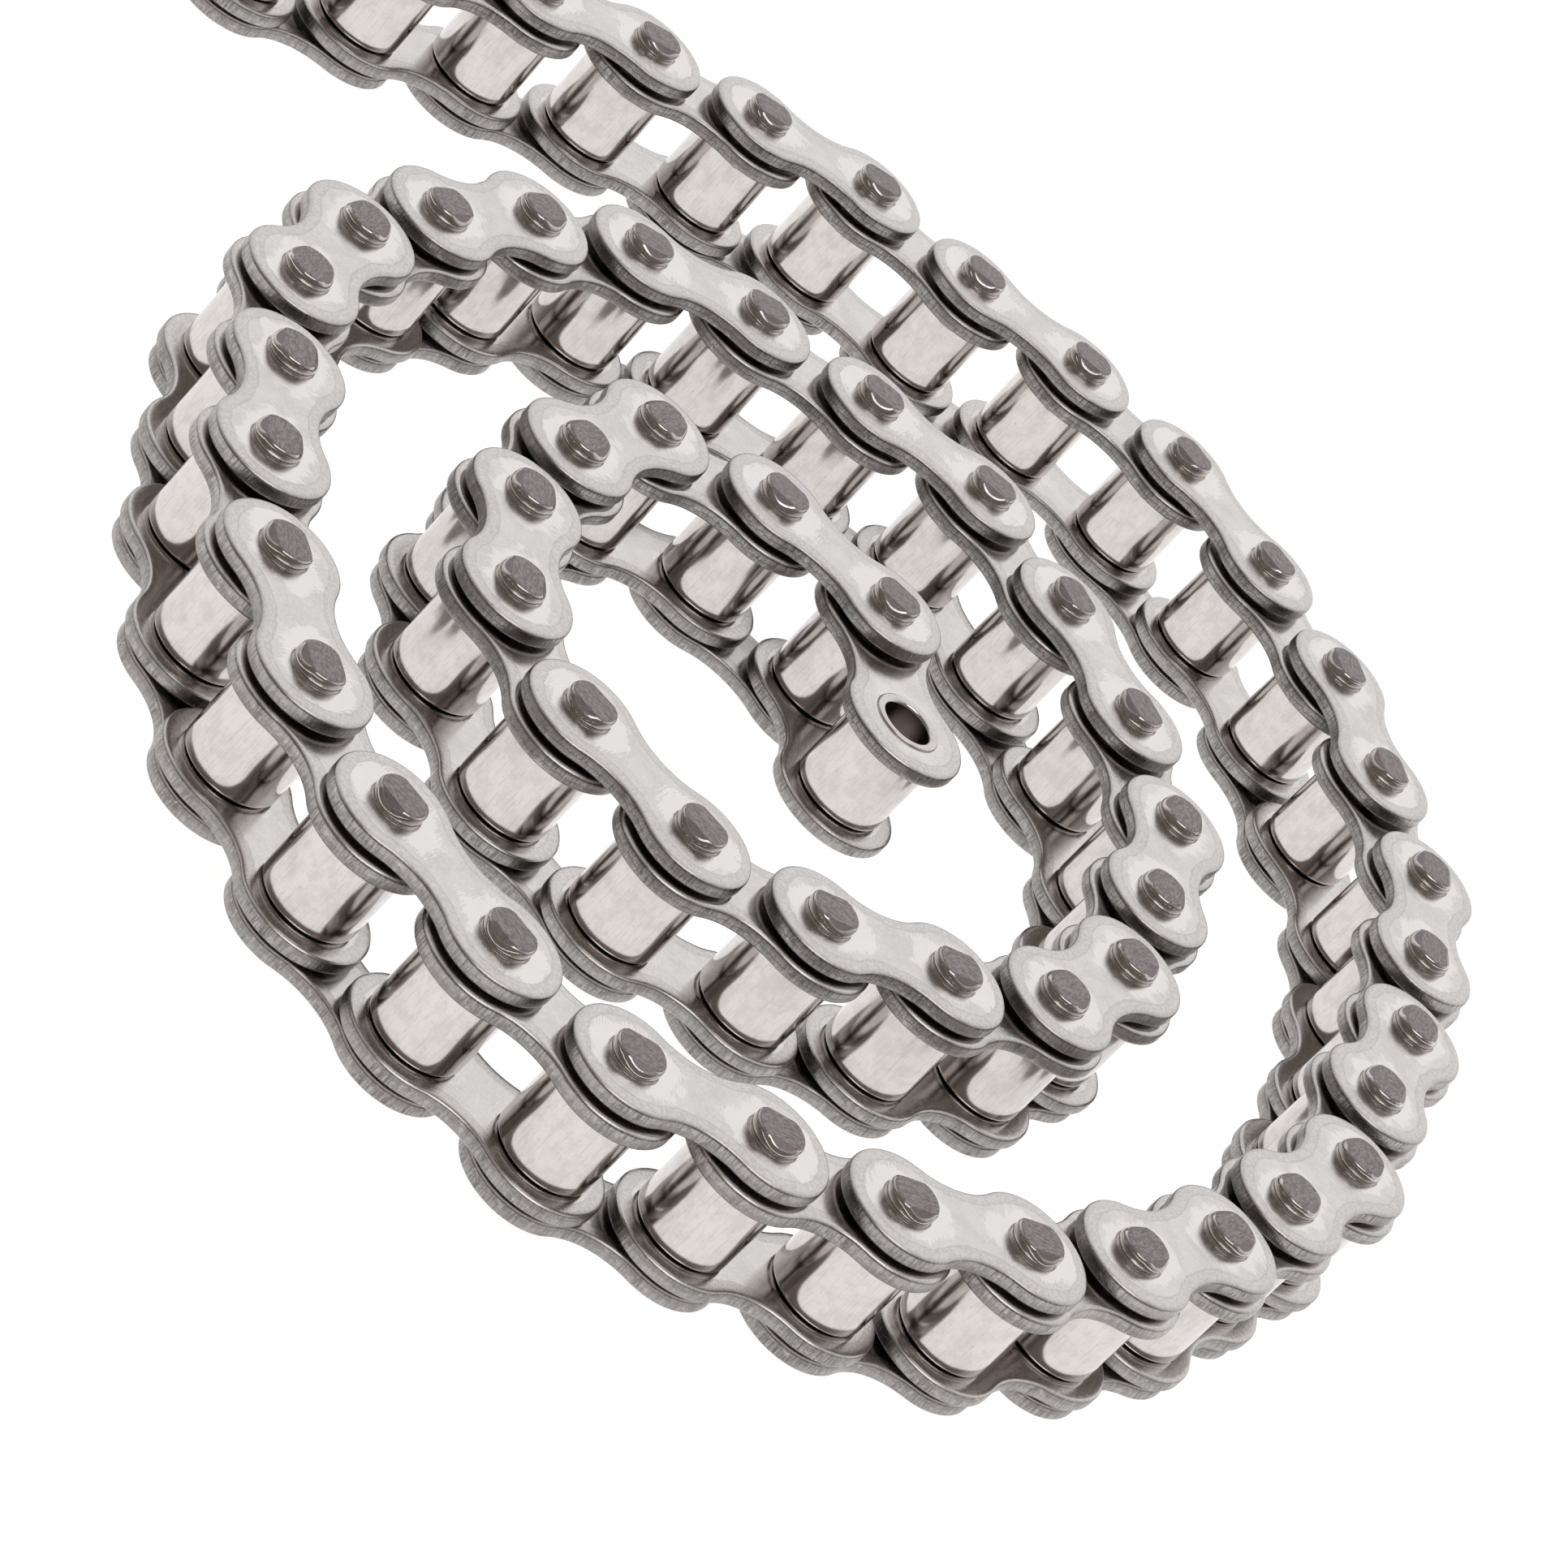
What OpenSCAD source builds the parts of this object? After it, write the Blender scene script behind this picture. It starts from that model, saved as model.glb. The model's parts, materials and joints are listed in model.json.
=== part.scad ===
// Roller chain of 12.7 mm pitch, left as a loose spiral lying on its side.
// The pins stand upright, so the coil rests on the lower ends of its pins.
// Origin: middle of the coil's bounding box, on the ground. +Z runs up along the pins.
// An outer link is two plates on two pins. An inner link is two plates on two bushes,
// and each bush carries a loose roller. A pin turns inside a bush at every joint.

/* [Chain] */
// Distance from one pin's axis to the next
pitch = 12.7; // [12.5:0.1:13.5]
// Clear width between the two inner plates
inner_width = 7.75; // [6:0.05:10]
// Distance between the inner faces of the two outer plates
outer_width = 11.43; // [11.4:0.01:12.4]

/* [Plates] */
// Thickness of every plate
plate_t = 1.5; // [1.2:0.05:1.6]
// Height of an inner plate across its round end
inner_plate_h = 11.7; // [11:0.1:12]
// Height of an inner plate at its waist
inner_waist_h = 8.2; // [7.6:0.1:10]
// Height of an outer plate across its round end
outer_plate_h = 10.7; // [10:0.1:11]
// Height of an outer plate at its waist
outer_waist_h = 7.2; // [6.6:0.1:9]

/* [Pins, bushes and rollers] */
// Diameter of a pin
pin_d = 4.45; // [4:0.01:4.5]
// Length of a pin over its riveted ends
pin_l = 16.7; // [16:0.1:17]
// Width of the rounded edge at each end of a pin
pin_edge = 0.4; // [0.1:0.05:0.6]
// Width of the flat strip between the two slanted faces at each end of a pin
pin_strip = 2.9; // [1.6:0.1:3.4]
// Slope of the slanted faces at each end of a pin
pin_slope = 36; // [15:1:45]
// Bore of a bush
bush_bore = 4.53; // [4.52:0.01:4.6]
// Outer diameter of a bush
bush_d = 6.2; // [5.8:0.05:6.4]
// Length of a bush, a little more than the inner link's width over its plates
bush_l = 11.1; // [10.9:0.05:11.3]
// Outer diameter of a roller
roller_d = 8.51; // [7.9:0.01:8.6]
// Length of a roller
roller_l = 7.6; // [5.8:0.05:7.7]

/* [Coil] */
// Compass direction of the first link, from the open bush at the inner end
first_heading = 90; // [0:5:355]

/* [Hidden] */
$fn = 64;
// How far the chain bends at each pin, in degrees, from the inner end of the coil outwards
bends = [
    55, 25, 50, 15, 20, 35, 25, 30, 15, 15, 25, 20, 5, 30, 15, 10, 35, 5,
    15, 20, 15, 10, 15, 20, 0, 10, 10, 20, 15, 15, 25, 5, 10, 15, 10, 10,
    0, 20, -5, 10, 5, 25, 0, 20, 10, 20, 10, -5, 20, 0, 10, 5, 0, 0
];
links = len(bends) + 1;
inner_links = (links + 1) / 2;
outer_links = (links - 1) / 2;

// Drawn gap around a pressed joint, which keeps the two pieces separate solids
press_gap = 0.01;
// Running gap on the radius between a bush and its roller
roller_gap = 0.04;
// How deep a waist's arc cuts into the round ends, so that the curves cross cleanly
waist_bite = 0.03;

steel_plate = "silver";
steel_dark = "gray";
steel_bright = "gainsboro";

// Direction of every link, where link 0 is the inner end of the coil
headings = [
    for (i = 0, a = first_heading; i < links; a = a + (i < links - 1 ? bends[i] : 0), i = i + 1)
        a
];
// Bush or pin centres, one more than there are links
steps = [for (a = headings) pitch * [cos(a), sin(a)]];
walk = [
    for (i = 0, p = [0, 0]; i <= links; p = p + (i < links ? steps[i] : [0, 0]), i = i + 1)
        p
];
low = [min([for (p = walk) p.x]), min([for (p = walk) p.y])];
high = [max([for (p = walk) p.x]), max([for (p = walk) p.y])];
middle = (low + high) / 2;

// Name of a link's node, with two digits
function link_name(kind, number) = str(kind, "_link_", number < 10 ? "0" : "", number);

// The inner link at the open end of the coil is drawn piece by piece, every other link as one group
FIRST_LINK = [
    "first_inner_plate_upper",
    "first_inner_plate_lower",
    "first_bush_open",
    "first_bush_pinned",
    "first_roller_open",
    "first_roller_pinned"
];

// Moves a link drawn from its first pin along +X to its place in the coil
module at_link(index) {
    here = walk[index] - middle;
    translate([here.x, here.y, pin_l / 2])
        rotate([0, 0, headings[index]])
            children();
}

// Repeats a piece at both ends of a link
module at_both_ends() {
    for (x = [0, pitch])
        translate([x, 0, 0])
            children();
}

// Figure-of-eight outline: two round ends joined by a waist with hollow sides
module plate_outline(height, waist) {
    end_r = height / 2;
    fit_r = end_r - waist_bite;
    half = waist / 2;
    arc_r = (pow(pitch / 2, 2) + half * half - fit_r * fit_r) / (2 * (fit_r - half));
    difference() {
        union() {
            at_both_ends()
                circle(r = end_r);
            translate([0, -end_r * 0.9])
                square([pitch, end_r * 1.8]);
        }
        for (side = [-1, 1])
            translate([pitch / 2, side * (half + arc_r)])
                circle(r = arc_r, $fn = 128);
    }
}

// Plate centred on a height, with a hole at each end
module plate(z, height, waist, hole_d) {
    translate([0, 0, z - plate_t / 2])
        linear_extrude(height = plate_t)
            difference() {
                plate_outline(height, waist);
                at_both_ends()
                    circle(d = hole_d);
            }
}

module inner_plate(side) {
    color(steel_plate)
        plate(side * (inner_width + plate_t) / 2, inner_plate_h, inner_waist_h, bush_d + 2 * press_gap);
}

module outer_plate(side) {
    color(steel_plate)
        plate(side * (outer_width + plate_t) / 2, outer_plate_h, outer_waist_h, pin_d + 2 * press_gap);
}

// Upright pin with rounded, riveted ends, each with two slanted faces along the link
module pin() {
    r = pin_d / 2;
    top = pin_l / 2;
    color(steel_dark)
        difference() {
            rotate_extrude()
                polygon([
                    [0, -top],
                    [r - pin_edge, -top],
                    [r - pin_edge * 0.3, -top + pin_edge * 0.3],
                    [r, -top + pin_edge],
                    [r, top - pin_edge],
                    [r - pin_edge * 0.3, top - pin_edge * 0.3],
                    [r - pin_edge, top],
                    [0, top]
                ]);
            for (end = [0, 180], side = [0, 180])
                rotate([end, 0, side])
                    translate([-pin_d, pin_strip / 2, top])
                        rotate([-pin_slope, 0, 0])
                            cube([2 * pin_d, pin_d, pin_d]);
        }
}

module bush() {
    color(steel_bright)
        difference() {
            cylinder(d = bush_d, h = bush_l, center = true);
            cylinder(d = bush_bore, h = bush_l + 1, center = true);
        }
}

module roller() {
    color(steel_bright)
        difference() {
            cylinder(d = roller_d, h = roller_l, center = true);
            cylinder(d = bush_d + 2 * roller_gap, h = roller_l + 1, center = true);
        }
}

// One outer link: two plates pressed on two pins
module outer_link(number) {
    at_link(2 * number - 1) {
        outer_plate(-1);
        outer_plate(1);
        at_both_ends()
            pin();
    }
}

// One inner link: two plates pressed on two bushes, with a loose roller on each bush
module inner_link(number) {
    at_link(2 * number - 2) {
        inner_plate(-1);
        inner_plate(1);
        at_both_ends() {
            bush();
            roller();
        }
    }
}

// The inner link at the open end of the coil, one module for each of its pieces
module first_inner_plate_upper() {
    at_link(0)
        inner_plate(1);
}

module first_inner_plate_lower() {
    at_link(0)
        inner_plate(-1);
}

module first_bush_open() {
    at_link(0)
        bush();
}

module first_bush_pinned() {
    at_link(0)
        translate([pitch, 0, 0])
            bush();
}

module first_roller_open() {
    at_link(0)
        roller();
}

module first_roller_pinned() {
    at_link(0)
        translate([pitch, 0, 0])
            roller();
}

first_inner_plate_upper();
first_inner_plate_lower();
first_bush_open();
first_bush_pinned();
first_roller_open();
first_roller_pinned();
for (n = [2 : inner_links])
    inner_link(n);
for (n = [1 : outer_links])
    outer_link(n);
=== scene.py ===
"""Looks of a coiled steel roller chain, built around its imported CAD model.

Every link is made of the same pieces as the real chain: plates, pins, bushes and rollers.
The meshes are modelled once, in a link's own frame (x along the link, z along its pins),
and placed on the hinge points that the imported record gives. Lengths in the functions
below are millimetres; MM turns them into Blender's metres.
"""

import json
import math

import bmesh
import bpy
from mathutils import Matrix, Vector


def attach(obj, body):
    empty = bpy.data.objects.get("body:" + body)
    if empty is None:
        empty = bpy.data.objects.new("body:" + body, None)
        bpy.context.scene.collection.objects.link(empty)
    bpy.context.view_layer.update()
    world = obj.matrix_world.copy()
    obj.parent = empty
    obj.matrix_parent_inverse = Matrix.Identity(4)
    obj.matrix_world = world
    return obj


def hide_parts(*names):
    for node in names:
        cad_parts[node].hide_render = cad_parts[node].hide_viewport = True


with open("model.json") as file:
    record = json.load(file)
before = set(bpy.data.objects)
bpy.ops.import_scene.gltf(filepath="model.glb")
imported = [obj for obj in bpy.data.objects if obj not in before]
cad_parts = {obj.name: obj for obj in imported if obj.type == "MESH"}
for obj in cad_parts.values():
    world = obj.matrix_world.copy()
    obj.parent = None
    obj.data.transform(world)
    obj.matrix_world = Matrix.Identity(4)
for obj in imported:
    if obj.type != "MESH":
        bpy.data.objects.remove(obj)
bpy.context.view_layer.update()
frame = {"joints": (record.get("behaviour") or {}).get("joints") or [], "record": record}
record = frame["record"]

MM = 0.001

# Sizes of the chain's pieces, the same as in the CAD model
PITCH = 12.7
INNER_WIDTH = 7.75
OUTER_WIDTH = 11.43
PLATE_T = 1.5
INNER_H, INNER_WAIST = 11.7, 8.2
OUTER_H, OUTER_WAIST = 10.7, 7.2
PIN_R, PIN_L = 2.225, 16.7
PIN_STRIP, PIN_SLOPE = 2.9, math.radians(36)
BUSH_R, BUSH_BORE_R, BUSH_L = 3.1, 2.265, 11.1
ROLLER_R, ROLLER_BORE_R, ROLLER_L = 4.255, 3.14, 7.6
SEAT_GAP = 0.01  # drawn gap around a pressed piece

OUTER_LEVEL = (OUTER_WIDTH + PLATE_T) / 2  # middle of an outer plate, from the chain's middle
INNER_LEVEL = (INNER_WIDTH + PLATE_T) / 2

# Edges that only the visual model has
HOLE_CHAMFER = 0.07
PIN_FILLET_END, PIN_FILLET_SIDE = 0.38, 0.62  # at the ends of the strip, and beside the flats
PIN_FLAT_START = 0.2  # how far past the strip a slanted flat reaches its full slope
PIN_CREASE = 0.03  # half width of the bend between the strip and a flat
# Groove under a pin's head, as (depth, height over the plate)
PIN_GROOVE = ((0.02, 0.22), (0.08, 0.15), (0.11, 0.08), (0.08, 0.02), (0.0, -0.05))
BUSH_RIM = 0.16
BUSH_MOUTH, BUSH_THROAT = 0.42, 0.2  # radii of the inner lip's wide arc and of the one below it
BUSH_JOIN = 158  # angle in degrees at which these two arcs meet
ROLLER_EDGE, ROLLER_BORE_EDGE = 0.42, 0.15

# Rims of the plates, as (distance in from the outline, drop below the face)
SOFT_RIM = (
    (0.0, 0.42),
    (0.015, 0.32),
    (0.06, 0.22),
    (0.13, 0.14),
    (0.24, 0.08),
    (0.42, 0.045),
    (0.7, 0.022),
    (1.0, 0.008),
    (1.35, 0.0),
)
CRISP_RIM = (
    (0.0, 0.3),
    (0.02, 0.2),
    (0.08, 0.11),
    (0.17, 0.05),
    (0.32, 0.02),
    (0.6, 0.006),
    (1.0, 0.0),
)

# ---------------------------------------------------------------- mesh helpers

WELD = 0.0005  # points closer than this become one
SLIVER = 0.0001  # edges shorter than this go


def finish_mesh(bm, name):
    """Turns a bmesh in millimetres into a smooth-shaded mesh in metres."""
    bmesh.ops.remove_doubles(bm, verts=bm.verts, dist=WELD)
    bmesh.ops.dissolve_degenerate(bm, dist=SLIVER, edges=bm.edges)
    bmesh.ops.recalc_face_normals(bm, faces=bm.faces)
    for face in bm.faces:
        face.smooth = True
    bm.transform(Matrix.Scale(MM, 4))
    mesh = bpy.data.meshes.new(name)
    bm.to_mesh(mesh)
    bm.free()
    return mesh


def revolve(profile, segments):
    """Solid of revolution about z of a closed loop of (radius, z) points."""
    bm = bmesh.new()
    turn = [2 * math.pi * k / segments for k in range(segments)]
    rings = [[bm.verts.new((r * math.cos(a), r * math.sin(a), z)) for a in turn] for r, z in profile]
    for low, high in zip(rings, rings[1:] + rings[:1]):
        for k in range(segments):
            j = (k + 1) % segments
            bm.faces.new((low[k], low[j], high[j], high[k]))
    return bm


def mirrored(upper):
    """A closed profile, from its upper half, whose first point is at the middle height."""
    return upper + [(r, -z) for r, z in reversed(upper[1:])]


def rounded(r0, z0, radius, start, end, steps):
    """Points on an arc about (r0, z0), from one angle to another in degrees."""
    out = []
    for k in range(steps + 1):
        a = math.radians(start + (end - start) * k / steps)
        out.append((r0 + radius * math.cos(a), z0 + radius * math.sin(a)))
    return out


# ---------------------------------------------------------------- plates


class Outline:
    """Figure-of-eight outline of a plate: two round ends and a waist of two hollow arcs."""

    def __init__(self, height, waist):
        self.end_r = height / 2
        self.half = waist / 2
        mid = PITCH / 2
        self.arc_r = (mid * mid + self.half**2 - self.end_r**2) / (2 * (self.end_r - self.half))
        self.arc = (mid, self.half + self.arc_r)
        self.turn = math.atan2(self.arc[1], mid)

    def left(self, inset, arc_steps=14, end_steps=44):
        """Half outline, from the waist's top over the left end to its bottom, moved inwards."""
        cx, cy = self.arc
        low = -math.pi / 2
        high = self.turn - math.pi
        top = []
        for k in range(arc_steps + 1):
            a = low + (high - low) * k / arc_steps
            r = self.arc_r + inset
            top.append((cx + r * math.cos(a), cy + r * math.sin(a)))
        # a wider arc about the same centre still ends on the line to the hole's centre
        end = []
        for k in range(1, end_steps):
            a = self.turn + (2 * math.pi - 2 * self.turn) * k / end_steps
            r = self.end_r - inset
            end.append((r * math.cos(a), r * math.sin(a)))
        bottom = [(x, -y) for x, y in reversed(top)]
        return top + end + bottom

    def depth(self, x, y):
        """How far inside the outline a point lies."""
        if x > PITCH / 2:
            x = PITCH - x
        y = abs(y)
        if abs(math.atan2(y, x)) >= self.turn:
            return self.end_r - math.hypot(x, y)
        return math.hypot(x - self.arc[0], y - self.arc[1]) - self.arc_r


def turned(points):
    """The other half of a plate: the same points, turned half a turn about the plate's middle."""
    return [(PITCH - x, -y) for x, y in points]


def plate_mesh(name, shape, hole_r):
    """A plate with a worn rim on its outer face and a crisper one on its inner face."""
    bm = bmesh.new()
    t = PLATE_T / 2
    # where the rows of points lie on a ray from a hole to the rim
    shares = (0.0, 0.05, 0.16, 0.32, 0.5, 0.7, 0.88, 1.0)
    waist_steps = 12

    def row(points, z):
        return [bm.verts.new((x, y, z)) for x, y in points]

    def loop(inset, z):
        half = shape.left(inset)
        return row(half[:-1] + turned(half)[:-1], z)

    def skin(a, b, flip):
        for k in range(len(a)):
            j = (k + 1) % len(a)
            face = (a[k], a[j], b[j], b[k])
            bm.faces.new(face[::-1] if flip else face)

    def on_hole(points, radius):
        """Points of the hole's edge on the rays to the given points."""
        return [(x / math.hypot(x, y) * radius, y / math.hypot(x, y) * radius) for x, y in points]

    sides = ((1, SOFT_RIM), (-1, CRISP_RIM))
    walls = []
    for side, rim in sides:
        rings = [loop(inset, side * (t - drop)) for inset, drop in rim]
        for a, b in zip(rings, rings[1:]):
            skin(a, b, side < 0)
        walls.append(rings[0])
    skin(walls[1], walls[0], False)

    # flat faces: rays from each hole to the rim's inner loop and to the middle line
    for side, rim in sides:
        inset, drop = rim[-1]
        half = shape.left(inset)
        top_y = half[0][1]
        middle = [(PITCH / 2, -top_y + 2 * top_y * k / waist_steps) for k in range(1, waist_steps)]
        ring = half + middle
        hole = on_hole(ring, hole_r + HOLE_CHAMFER)
        wall = on_hole(ring, hole_r)
        for placed in (list, turned):
            rows = []
            for share in shares:
                between = [
                    (hx + (x - hx) * share, hy + (y - hy) * share)
                    for (x, y), (hx, hy) in zip(ring, hole)
                ]
                rows.append(row(placed(between), side * (t - drop)))
            lip = [row(placed(wall), z) for z in (side * (t - HOLE_CHAMFER), 0.0)]
            for a, b in zip(rows, rows[1:]):
                skin(a, b, side > 0)
            skin(lip[0], rows[0], side > 0)
            skin(lip[1], lip[0], side > 0)
    return finish_mesh(bm, name)


# ---------------------------------------------------------------- round pieces


def pin_mesh(segments=96):
    """Riveted pin: grooved under its heads, with a filleted rim and two slanted flats along the link."""
    top = PIN_L / 2
    face = OUTER_WIDTH / 2 + PLATE_T
    fall = math.tan(PIN_SLOPE)
    ridge = PIN_STRIP / 2

    def height(r, s):
        return top - max(0.0, r * s - ridge) * fall

    def section(angle):
        """(radius, z) points from the middle of the end down to the side, at one angle."""
        s = abs(math.sin(angle))
        over = min(1.0, max(0.0, (PIN_R * s - ridge) / PIN_FLAT_START))
        slope = s * fall * over * over * (3 - 2 * over)
        tilt = math.atan(slope)
        fillet = PIN_FILLET_END + (PIN_FILLET_SIDE - PIN_FILLET_END) * over
        z0 = height(PIN_R, s) + slope * fillet - fillet / math.cos(tilt)
        z0 = min(z0, top - fillet * math.cos(tilt))
        rim = rounded(PIN_R - fillet, z0, fillet, 90 - math.degrees(tilt), 0, 8)
        reach = rim[0][0]
        crest = min(ridge / max(s, 1e-6), reach * 0.97)
        past = crest + PIN_CREASE
        flat = [0.0, crest * 0.35, crest * 0.7, crest - PIN_CREASE, crest, past]
        flat += [past + (reach - crest - PIN_CREASE) * k / 4 for k in (1, 2, 3)]
        points = [(min(r, reach), height(min(r, reach), s)) for r in flat]
        return points + rim

    side = [(PIN_R - depth, face + rise) for depth, rise in PIN_GROOVE] + [(PIN_R, face * 0.6)]
    bm = bmesh.new()
    rows = []
    for k in range(segments):
        angle = 2 * math.pi * (k + 0.5) / segments
        half = section(angle) + side
        whole = half + [(PIN_R, 0.0)] + [(r, -z) for r, z in reversed(half)]
        rows.append([bm.verts.new((r * math.cos(angle), r * math.sin(angle), z)) for r, z in whole])
    for one, two in zip(rows, rows[1:] + rows[:1]):
        for j in range(len(one) - 1):
            bm.faces.new((one[j], one[j + 1], two[j + 1], two[j]))
    return finish_mesh(bm, "pin")


def bush_mesh():
    """Bush with a small rounding outside and a wide rounded mouth at each end."""
    h = BUSH_L / 2
    join = math.radians(BUSH_JOIN)
    throat_r = BUSH_BORE_R + BUSH_THROAT
    throat_z = h - BUSH_MOUTH + (BUSH_MOUTH - BUSH_THROAT) * math.sin(join)
    mouth_r = throat_r - (BUSH_MOUTH - BUSH_THROAT) * math.cos(join)
    upper = (
        [(BUSH_R, 0.0), (BUSH_R, h - 0.5)]
        + rounded(BUSH_R - BUSH_RIM, h - BUSH_RIM, BUSH_RIM, 0, 90, 5)
        + rounded(mouth_r, h - BUSH_MOUTH, BUSH_MOUTH, 90, BUSH_JOIN, 9)
        + rounded(throat_r, throat_z, BUSH_THROAT, BUSH_JOIN, 180, 3)[1:]
        + [(BUSH_BORE_R, h - 1.3)]
    )
    return finish_mesh(revolve(mirrored(upper), 96), "bush")


def roller_mesh():
    """Roller with rounded end edges and a bore."""
    h = ROLLER_L / 2
    bore_edge_r = ROLLER_BORE_R + ROLLER_BORE_EDGE
    upper = (
        [(ROLLER_R, 0.0), (ROLLER_R, h * 0.5), (ROLLER_R, h - ROLLER_EDGE - 0.25)]
        + rounded(ROLLER_R - ROLLER_EDGE, h - ROLLER_EDGE, ROLLER_EDGE, 0, 90, 8)
        + [(bore_edge_r + ROLLER_BORE_EDGE, h)]
        + rounded(bore_edge_r, h - ROLLER_BORE_EDGE, ROLLER_BORE_EDGE, 90, 180, 3)
        + [(ROLLER_BORE_R, h - 0.5)]
    )
    return finish_mesh(revolve(mirrored(upper), 112), "roller")


# ---------------------------------------------------------------- material helpers


def grey(value, warm=0.0):
    """Steel grey of a brightness, a little warm, or warmer."""
    return (value * (1.042 + warm), value, value * (0.985 - warm), 1.0)


class Nodes:
    """Small helper around one node tree."""

    def __init__(self, tree):
        self.tree = tree
        self.tree.nodes.clear()

    def add(self, kind, values=None, **props):
        node = self.tree.nodes.new(kind)
        for key, value in props.items():
            setattr(node, key, value)
        for key, value in (values or {}).items():
            self.put(node.inputs[key], value)
        return node

    def put(self, socket, value):
        if isinstance(value, bpy.types.NodeSocket):
            self.tree.links.new(value, socket)
        else:
            socket.default_value = value

    def math(self, operation, a, b=0.0):
        node = self.add("ShaderNodeMath", operation=operation)
        self.put(node.inputs[0], a)
        self.put(node.inputs[1], b)
        return node.outputs[0]

    def times(self, a, b):
        return self.math("MULTIPLY", a, b)

    def plus(self, a, b):
        return self.math("ADD", a, b)

    def vector_math(self, operation, a, b):
        node = self.add("ShaderNodeVectorMath", operation=operation)
        self.put(node.inputs[0], a)
        self.put(node.inputs[1], b)
        return node

    def stretch(self, vector, scale):
        return self.vector_math("MULTIPLY", vector, scale).outputs[0]

    def step(self, value, low, high, out_low=0.0, out_high=1.0):
        """Smooth change from out_low to out_high as value goes from low to high."""
        values = {
            "Value": value,
            "From Min": low,
            "From Max": high,
            "To Min": out_low,
            "To Max": out_high,
        }
        return self.add("ShaderNodeMapRange", values, interpolation_type="SMOOTHSTEP").outputs[0]

    def mix(self, factor, a, b):
        """Colour a where factor is 0, and b where it is 1."""
        node = self.add("ShaderNodeMix", data_type="RGBA")
        self.put(node.inputs[0], factor)
        self.put(node.inputs[6], a)
        self.put(node.inputs[7], b)
        return node.outputs[2]

    def mix_value(self, factor, a, b):
        """The same for a number."""
        node = self.add("ShaderNodeMix", data_type="FLOAT")
        self.put(node.inputs[0], factor)
        self.put(node.inputs[2], a)
        self.put(node.inputs[3], b)
        return node.outputs[0]

    def noise(self, vector, scale, detail=2.0, rough=0.5):
        values = {"Vector": vector, "Scale": scale, "Detail": detail, "Roughness": rough}
        return self.add("ShaderNodeTexNoise", values).outputs[0]


class Steel(Nodes):
    """Metal material. own are a piece's millimetre coordinates; moved are different on every piece."""

    def __init__(self, name):
        self.material = bpy.data.materials.new(name)
        self.material.use_nodes = True
        super().__init__(self.material.node_tree)
        coord = self.add("ShaderNodeTexCoord")
        self.own = self.stretch(coord.outputs["Object"], (1 / MM, 1 / MM, 1 / MM))
        self.normal = coord.outputs["Normal"]
        luck = self.add("ShaderNodeObjectInfo").outputs["Random"]
        shifts = {axis: self.times(luck, most) for axis, most in (("X", 91.0), ("Y", 57.0), ("Z", 23.0))}
        shift = self.add("ShaderNodeCombineXYZ", shifts)
        self.moved = self.vector_math("ADD", self.own, shift.outputs[0]).outputs[0]

    def facing(self):
        """How much a point faces up or down, from 0 to 1."""
        return self.math("ABSOLUTE", self.add("ShaderNodeSeparateXYZ", {"Vector": self.normal}).outputs[2])

    def finish(self, colour, roughness, bumps):
        """Metal surface from a colour, a roughness and a list of (height, strength, reach) bumps."""
        surface = self.add("ShaderNodeBsdfPrincipled", {"Base Color": colour, "Roughness": roughness})
        surface.inputs["Metallic"].default_value = 1.0
        last = None
        for height, strength, reach in bumps:
            bump = self.add("ShaderNodeBump", {"Height": height, "Strength": strength, "Distance": reach})
            if last is not None:
                self.put(bump.inputs["Normal"], last)
            last = bump.outputs[0]
        self.put(surface.inputs["Normal"], last)
        out = self.add("ShaderNodeOutputMaterial")
        self.put(out.inputs["Surface"], surface.outputs[0])
        return self.material


# ---------------------------------------------------------------- materials


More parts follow.
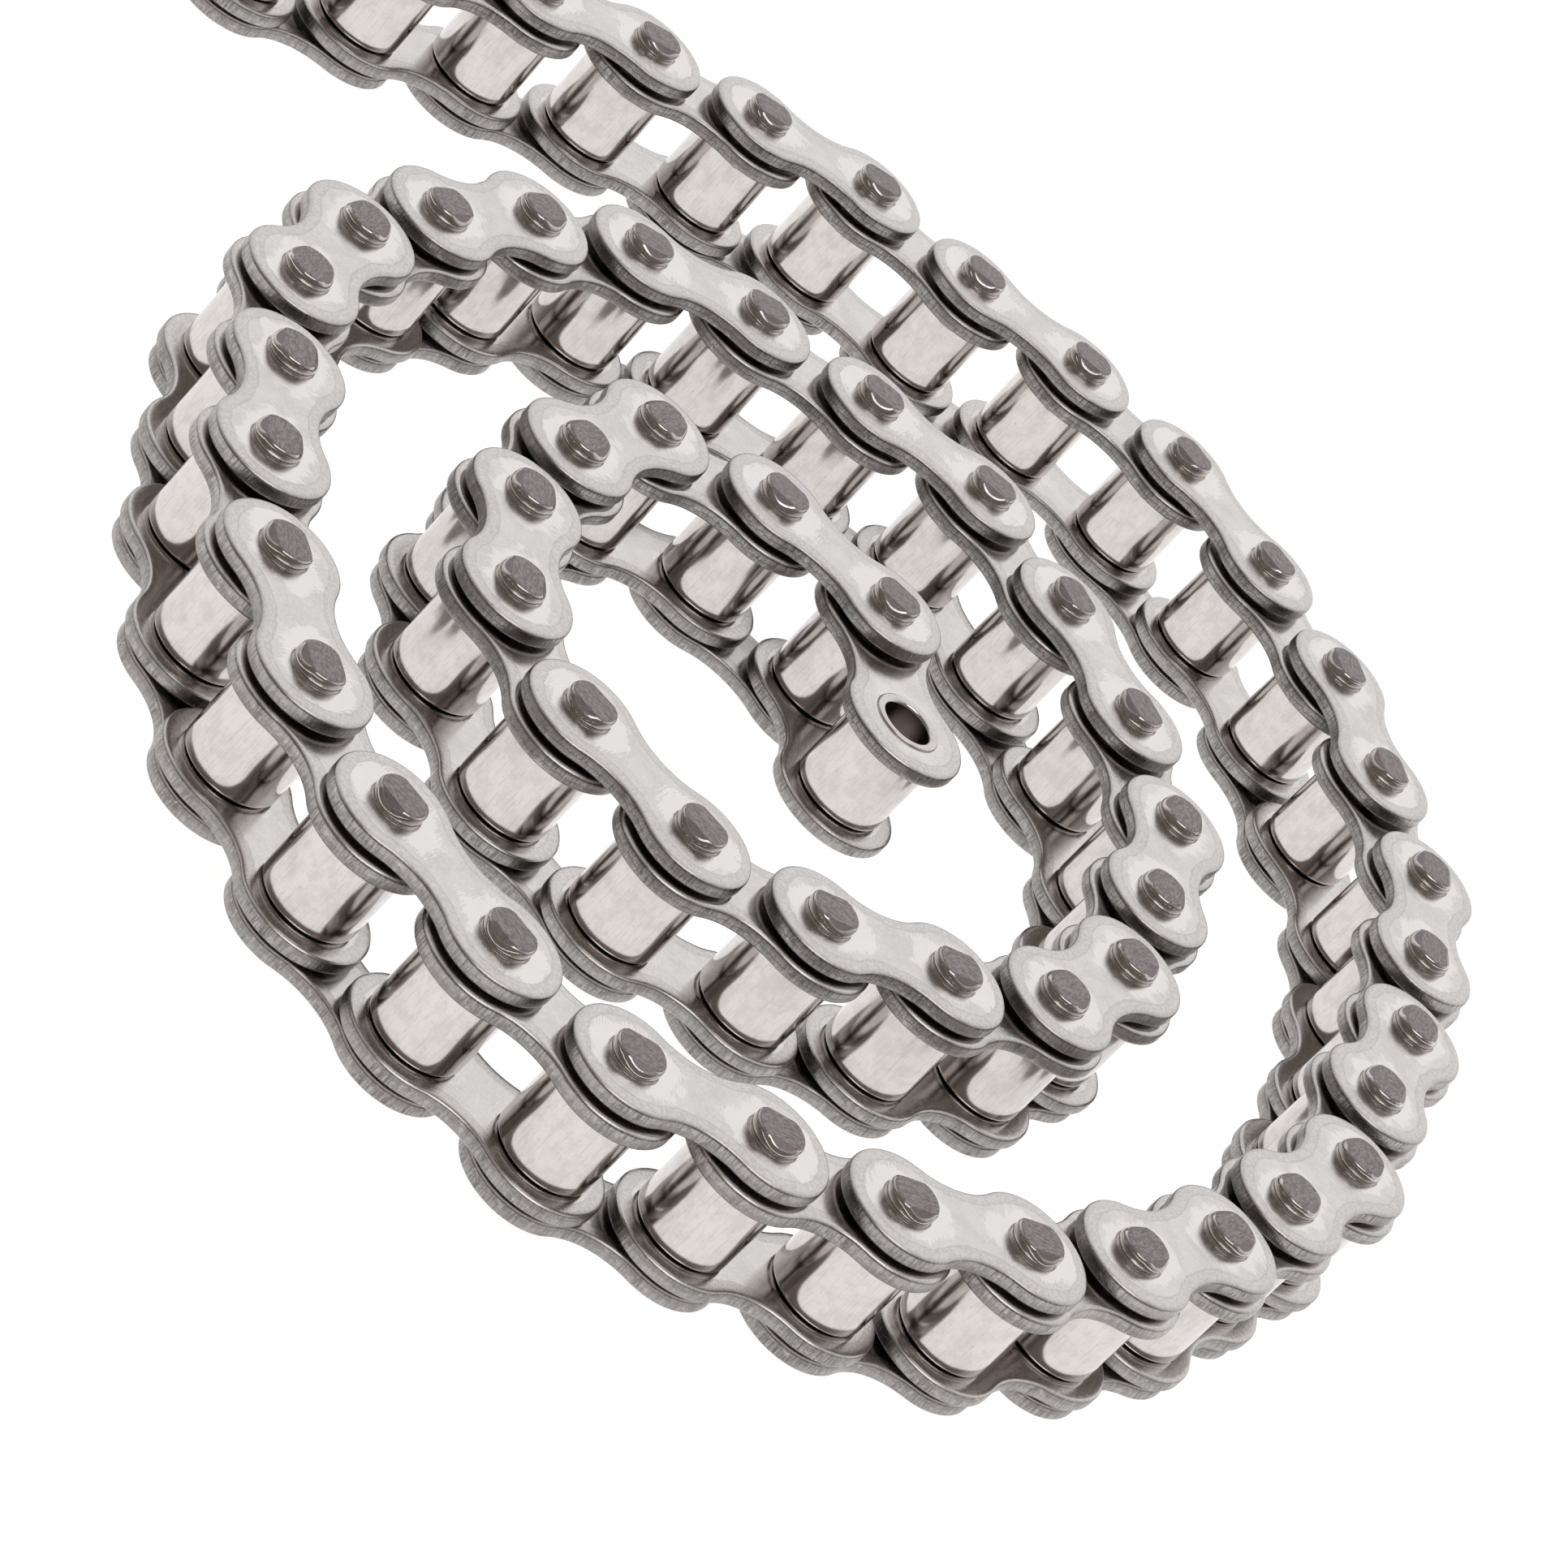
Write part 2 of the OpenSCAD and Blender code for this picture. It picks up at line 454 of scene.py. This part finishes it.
def plate_material(name, level, halo, face_rough, tone=0.65):
    """Tumbled stainless plate: fine stipple, soft worn rim, brighter halo at the pins, sheared edge;
    painted shade darkens the outline and the sides.

    level is the plate's height over the chain's middle, and halo the strength of the bright patches.
    """
    n = Steel(name)
    own, moved = n.own, n.moved
    x, y, z = n.add("ShaderNodeSeparateXYZ", {"Vector": own}).outputs
    z = n.math("SUBTRACT", n.math("ABSOLUTE", z), level)
    wall = n.step(n.facing(), 0.35, 0.75, 1.0, 0.0)
    rim = n.add("ShaderNodeAttribute", attribute_name="rim_mm").outputs["Fac"]

    # face: cloudy tone, speckled grain and a few long scuffs
    cloud = n.noise(moved, 0.4, 3.0)
    grain = n.noise(moved, 3.2, 4.0, 0.75)
    fine = n.noise(moved, 22.0, 2.0, 0.6)
    scuff = n.noise(n.stretch(moved, (0.7, 8.0, 0.9)), 1.2, 3.0, 0.6)
    face = n.mix(n.step(cloud, 0.3, 0.7), grey(tone * 0.90, 0.006), grey(tone * 1.02, 0.002))
    face = n.mix(n.step(grain, 0.45, 0.68, 0.0, 0.55), face, grey(tone * 1.14))
    face = n.mix(n.step(scuff, 0.62, 0.72, 0.0, 0.25), face, grey(tone * 0.75, 0.01))

    # tumbled border band along the rim, painted shade on the rounded outline, and a faint line where the
    # band meets the flat
    wander = n.times(n.math("SUBTRACT", n.noise(moved, 0.8, 2.0), 0.5), 0.5)
    band = n.plus(rim, wander)
    border = n.step(band, 1.1, 1.3, 1.0, 0.0)
    worn = n.mix(n.step(grain, 0.38, 0.62), grey(tone * 0.76, 0.012), grey(tone * 1.0, 0.006))
    face = n.mix(n.times(border, 0.75), face, worn)
    # painted shade: the rounded outline is painted a darker, warmer grey
    rim_painted_shade = n.step(rim, 0.1, 0.5, 0.3, 0.0)
    face = n.mix(rim_painted_shade, face, grey(tone * 0.5, 0.015))
    seam = n.times(n.step(band, 1.06, 1.18), n.step(band, 1.2, 1.34, 1.0, 0.0))
    face = n.mix(n.times(seam, 0.35), face, grey(tone * 0.62, 0.02))

    # polished patch around each hole, ragged and pulled out along the link
    near = n.math("MINIMUM", n.math("ABSOLUTE", x), n.math("ABSOLUTE", n.math("SUBTRACT", x, PITCH)))
    along = n.times(near, 0.7)
    away = n.math("SQRT", n.plus(n.math("POWER", along, 2.0), n.math("POWER", y, 2.0)))
    frayed = n.noise(n.stretch(moved, (5.5, 0.9, 1.0)), 1.2, 4.0, 0.65)
    drift = n.noise(moved, 0.5, 1.0)
    ragged = n.plus(n.plus(away, n.times(frayed, 2.4)), n.times(drift, 2.6))
    shine = n.times(n.step(ragged, 5.5, 5.8, halo, 0.0), n.math("SUBTRACT", 1.0, border))
    face = n.mix(shine, face, grey(tone * 1.25))

    # punched edge: upright shear lines, with a torn zone beyond a broken line; the sides are also painted
    # far darker than the face, as painted shade
    lines = n.noise(n.stretch(moved, (4.0, 4.0, 0.4)), 1.3, 4.0, 0.75)
    patch = n.noise(n.stretch(moved, (0.35, 0.35, 0.5)), 1.0, 2.0)
    blotch = n.noise(n.stretch(moved, (1.4, 1.4, 1.4)), 1.6, 4.0, 0.7)
    torn_line = n.noise(n.stretch(moved, (2.0, 2.0, 0.1)), 1.0, 3.0, 0.8)
    torn = n.step(n.plus(z, n.times(torn_line, 0.9)), 0.3, 0.4, 1.0, 0.0)
    marked = n.times(n.step(lines, 0.40, 0.60, 1.0, 0.0), n.step(patch, 0.35, 0.65, 0.3, 0.9))
    # painted shade: the side's greys are kept much darker than the face's, on top of the real shear marks
    edge = n.mix(marked, grey(tone * 0.54, 0.015), grey(tone * 0.20, 0.02))
    edge = n.mix(n.times(torn, 0.5), edge, grey(tone * 0.28, 0.03))
    edge = n.mix(n.step(blotch, 0.5, 0.75, 0.0, 0.6), edge, grey(tone * 0.9, 0.01))

    rough_face = n.plus(n.step(grain, 0.3, 0.8, face_rough, face_rough + 0.07), n.times(border, 0.10))
    rough_edge = n.step(lines, 0.3, 0.7, 0.40, 0.24)
    relief = n.times(n.math("SUBTRACT", 1.0, wall), n.plus(grain, fine))
    shear = n.times(wall, n.plus(lines, n.times(torn, 0.5)))
    return n.finish(
        n.mix(wall, face, edge),
        n.mix_value(wall, rough_face, rough_edge),
        [(relief, 0.3, 0.01 * MM), (shear, 0.7, 0.05 * MM), (cloud, 0.2, 0.06 * MM)],
    )


def pin_material():
    """Pin: mill-grey riveted ends, with painted shade on their slanted flats, polished sides."""
    n = Steel("pin_steel")
    up = n.facing()
    end = n.step(up, 0.765, 0.80)
    smudge = n.noise(n.moved, 1.3, 3.0)
    marks = n.noise(n.stretch(n.moved, (1.0, 2.4, 1.0)), 2.0, 5.0, 0.75)
    speck = n.noise(n.moved, 7.0, 2.0, 0.6)
    top = n.mix(n.step(marks, 0.36, 0.66), (0.14, 0.12, 0.122, 1.0), (0.32, 0.285, 0.288, 1.0))
    # painted shade: the slanted flats of each end are painted a darker, purplish grey
    flat_painted_shade = n.step(up, 0.84, 0.93, 1.0, 0.0)
    top = n.mix(n.times(flat_painted_shade, 0.75), top, (0.2, 0.165, 0.175, 1.0))
    top = n.mix(n.step(speck, 0.68, 0.76, 0.0, 0.5), top, grey(0.7))
    side = n.mix(n.step(smudge, 0.35, 0.7), grey(0.56, 0.01), grey(0.42, 0.04))
    rough_side = n.step(smudge, 0.3, 0.7, 0.08, 0.16)
    rough_end = n.step(marks, 0.3, 0.7, 0.3, 0.42)
    return n.finish(
        n.mix(end, side, top),
        n.mix_value(end, rough_side, rough_end),
        [(n.times(marks, end), 0.25, 0.02 * MM), (smudge, 0.2, 0.1 * MM)],
    )


def polished_material(name, tone, roughness):
    """Drawn and polished part: faint lines along the axis, stains and a slightly uneven surface."""
    n = Steel(name)
    drawn = n.noise(n.stretch(n.moved, (4.5, 4.5, 0.35)), 1.2, 5.0, 0.75)
    stain = n.noise(n.moved, 0.7, 4.0, 0.65)
    spots = n.noise(n.stretch(n.moved, (1.0, 1.0, 0.6)), 3.5, 4.0, 0.7)
    uneven = n.noise(n.stretch(n.moved, (1.0, 1.0, 0.6)), 0.45, 1.0)
    colour = n.mix(n.step(stain, 0.4, 0.65), grey(tone * 1.02, 0.012), grey(tone * 0.90, 0.022))
    colour = n.mix(n.step(drawn, 0.48, 0.68, 0.0, 0.5), colour, grey(tone * 0.70, 0.02))
    colour = n.mix(n.step(spots, 0.6, 0.7, 0.0, 0.4), colour, grey(tone * 0.6, 0.03))
    bumps = [(drawn, 0.3, 0.006 * MM), (stain, 0.25, 0.02 * MM), (uneven, 0.25, 0.15 * MM)]
    return n.finish(colour, roughness, bumps)


# ---------------------------------------------------------------- shared meshes


def gathered(name, parts, steel, outline=None):
    """One mesh, in a link's frame, of pieces moved to their places in the link."""
    bm = bmesh.new()
    for mesh, matrix in parts:
        moved = mesh.copy()
        moved.transform(matrix)
        bm.from_mesh(moved)
        bpy.data.meshes.remove(moved)
    mesh = bpy.data.meshes.new(name)
    bm.to_mesh(mesh)
    bm.free()
    mesh.materials.append(steel)
    if outline:
        # the plates' material needs each point's distance from the outline
        depths = [outline.depth(v.co.x / MM, v.co.y / MM) for v in mesh.vertices]
        mesh.attributes.new("rim_mm", "FLOAT", "POINT").data.foreach_set("value", depths)
    return mesh


def at(x=0.0, z=0.0, flipped=False):
    """Matrix that moves a piece along its link and up; flipped turns a plate's outside down."""
    matrix = Matrix.Translation((x * MM, 0, z * MM))
    if flipped:
        matrix = matrix @ Matrix.Translation((PITCH * MM, 0, 0)) @ Matrix.Rotation(math.pi, 4, "Y")
    return matrix


outer_shape = Outline(OUTER_H, OUTER_WAIST)
inner_shape = Outline(INNER_H, INNER_WAIST)
outer_plate = plate_mesh("outer_plate", outer_shape, PIN_R + SEAT_GAP)
inner_plate = plate_mesh("inner_plate", inner_shape, BUSH_R + SEAT_GAP)
pin = pin_mesh()
bush = bush_mesh()
roller = roller_mesh()

outer_steel = plate_material("outer_plate_steel", OUTER_LEVEL, halo=0.7, face_rough=0.17)
inner_steel = plate_material("inner_plate_steel", INNER_LEVEL, halo=0.35, face_rough=0.10)
pin_steel = pin_material()
bush_steel = polished_material("bush_steel", tone=0.62, roughness=0.15)
roller_steel = polished_material("roller_steel", tone=0.61, roughness=0.14)

upper_plate = (inner_plate, at(z=INNER_LEVEL))
lower_plate = (inner_plate, at(z=-INNER_LEVEL, flipped=True))
outer_pair = [(outer_plate, at(z=OUTER_LEVEL)), (outer_plate, at(z=-OUTER_LEVEL, flipped=True))]

# Pieces of one link: (name, mesh), for an outer link, an inner link and the first link
OUTER_PIECES = [
    ("outer_plates", gathered("outer_plates", outer_pair, outer_steel, outer_shape)),
    ("rivet_pins", gathered("rivet_pins", [(pin, at()), (pin, at(PITCH))], pin_steel)),
]
INNER_PIECES = [
    ("inner_plates", gathered("inner_plates", [upper_plate, lower_plate], inner_steel, inner_shape)),
    ("bushes", gathered("bushes", [(bush, at()), (bush, at(PITCH))], bush_steel)),
    ("rollers", gathered("rollers", [(roller, at()), (roller, at(PITCH))], roller_steel)),
]
FIRST_PIECES = [
    ("inner_plate_upper", gathered("plate_upper", [upper_plate], inner_steel, inner_shape)),
    ("inner_plate_lower", gathered("plate_lower", [lower_plate], inner_steel, inner_shape)),
    ("bush_open", gathered("bush_open", [(bush, at())], bush_steel)),
    ("bush_pinned", gathered("bush_pinned", [(bush, at(PITCH))], bush_steel)),
    ("roller_open", gathered("roller_open", [(roller, at())], roller_steel)),
    ("roller_pinned", gathered("roller_pinned", [(roller, at(PITCH))], roller_steel)),
]
for single in (outer_plate, inner_plate, pin, bush, roller):
    bpy.data.meshes.remove(single)

# ---------------------------------------------------------------- the chain

mount_at = {m["name"]: Vector(m["pos_m"]) for m in record["mounts"]}
hinges = sorted(j["name"] for j in frame["joints"] if j["name"].startswith("pin_"))
hinge_at = {j["name"]: Vector(j["pos_m"]) for j in frame["joints"]}
centres = (
    [mount_at["open_bush_inner_end"]]
    + [hinge_at[name] for name in hinges]
    + [mount_at["open_bush_outer_end"]]
)


def place(name, mesh, start, stop, body, node):
    """Puts one piece on its link, which runs from one hinge point to the next."""
    way = stop - start
    piece = bpy.data.objects.new(name, mesh)
    bpy.context.scene.collection.objects.link(piece)
    piece.matrix_world = Matrix.Translation(start) @ Matrix.Rotation(math.atan2(way.y, way.x), 4, "Z")
    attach(piece, body)
    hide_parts(node)


for index, (start, stop) in enumerate(zip(centres, centres[1:])):
    if index == 0:
        for name, mesh in FIRST_PIECES:
            node = f"first_{name}"
            body = node if name.startswith("roller") else "inner_link_01"
            place(f"{name}_01", mesh, start, stop, body, node)
        continue
    side = "outer" if index % 2 else "inner"
    number = index // 2 + 1
    body = f"{side}_link_{number:02d}"
    for name, mesh in OUTER_PIECES if side == "outer" else INNER_PIECES:
        place(f"{name}_{number:02d}", mesh, start, stop, body, body)

# ---------------------------------------------------------------- floor, camera and light

FLOOR_SIZE = 4.0  # half of the floor's side, in metres
FLOOR_GLOW = 0.85

CAMERA_AZIMUTH = math.radians(-127.3)  # from the coil towards the camera
CAMERA_ELEVATION = math.radians(27.95)
CAMERA_ROLL = math.radians(44.23)
CAMERA_DISTANCE = 0.5229
CAMERA_AIM = Vector((-0.00787, -0.0172, 0.00835))
CAMERA_SENSOR, CAMERA_LENS = 36.0, 149.02  # millimetres

TENT_BRIGHT = (0.98, 0.98, 0.98, 1)
TENT_DARK = (0.20, 0.175, 0.155, 1)
TENT_MIDDLE = (0.545, 0.724, 0.423)  # direction of the middle of the tent's bright side
TENT_EDGE = (-0.1, 0.8)  # the tent goes from dark to bright between these cosines from that middle


def make_floor():
    """White floor that glows a little, so that it shows as plain white."""
    mesh = bpy.data.meshes.new("floor")
    bm = bmesh.new()
    bmesh.ops.create_grid(bm, x_segments=8, y_segments=8, size=FLOOR_SIZE)
    bm.to_mesh(mesh)
    bm.free()
    floor = bpy.data.objects.new("floor", mesh)
    bpy.context.scene.collection.objects.link(floor)
    material = bpy.data.materials.new("floor_paint")
    material.use_nodes = True
    paint = material.node_tree.nodes["Principled BSDF"]
    paint.inputs["Base Color"].default_value = (0.5, 0.5, 0.5, 1)
    paint.inputs["Roughness"].default_value = 0.9
    paint.inputs["Specular IOR Level"].default_value = 0.1
    paint.inputs["Emission Color"].default_value = (1, 1, 1, 1)
    paint.inputs["Emission Strength"].default_value = FLOOR_GLOW
    mesh.materials.append(material)


def direction(azimuth, elevation):
    """Unit vector of a compass direction and a height angle, in radians."""
    flat = math.cos(elevation)
    return Vector((flat * math.cos(azimuth), flat * math.sin(azimuth), math.sin(elevation)))


def make_camera():
    """Camera aimed at the coil and rolled about its own line of sight."""
    back = direction(CAMERA_AZIMUTH, CAMERA_ELEVATION)
    level_right = (-back).cross(Vector((0, 0, 1))).normalized()
    level_up = level_right.cross(-back)
    right = math.cos(CAMERA_ROLL) * level_right + math.sin(CAMERA_ROLL) * level_up
    up = math.cos(CAMERA_ROLL) * level_up - math.sin(CAMERA_ROLL) * level_right
    lens = bpy.data.cameras.new("camera")
    lens.sensor_width = CAMERA_SENSOR
    lens.lens = CAMERA_LENS
    lens.clip_start = 0.01
    camera = bpy.data.objects.new("camera", lens)
    bpy.context.scene.collection.objects.link(camera)
    turn = Matrix((right, up, back)).transposed().to_4x4()
    camera.matrix_world = Matrix.Translation(CAMERA_AIM + back * CAMERA_DISTANCE) @ turn
    bpy.context.scene.camera = camera


def make_softbox(name, azimuth, elevation, distance, width, height, watts):
    """Area light aimed at the coil from a compass direction and a height angle, in degrees."""
    way = direction(math.radians(azimuth), math.radians(elevation))
    data = bpy.data.lights.new(name, "AREA")
    data.shape = "RECTANGLE"
    data.size = width
    data.size_y = height
    data.energy = watts
    lamp = bpy.data.objects.new(name, data)
    bpy.context.scene.collection.objects.link(lamp)
    facing = way.to_track_quat("Z", "Y").to_matrix().to_4x4()
    lamp.matrix_world = Matrix.Translation(way * distance) @ facing


def make_tent():
    """Light tent around the object: bright behind it, as the camera sees it, and dark in front."""
    world = bpy.data.worlds.new("studio")
    bpy.context.scene.world = world
    world.use_nodes = True
    n = Nodes(world.node_tree)
    sky = n.add("ShaderNodeTexCoord").outputs["Generated"]
    toward = n.vector_math("DOT_PRODUCT", sky, TENT_MIDDLE).outputs["Value"]
    tone = n.mix(n.step(toward, *TENT_EDGE), TENT_DARK, TENT_BRIGHT)
    light = n.add("ShaderNodeBackground", {"Color": tone, "Strength": 1.0})
    out = n.add("ShaderNodeOutputWorld")
    n.put(out.inputs["Surface"], light.outputs[0])


make_floor()
make_camera()
make_softbox("rim_softbox", azimuth=-95, elevation=62, distance=0.9, width=0.6, height=0.35, watts=1.2)
make_tent()
bpy.context.scene.view_settings.view_transform = "Standard"
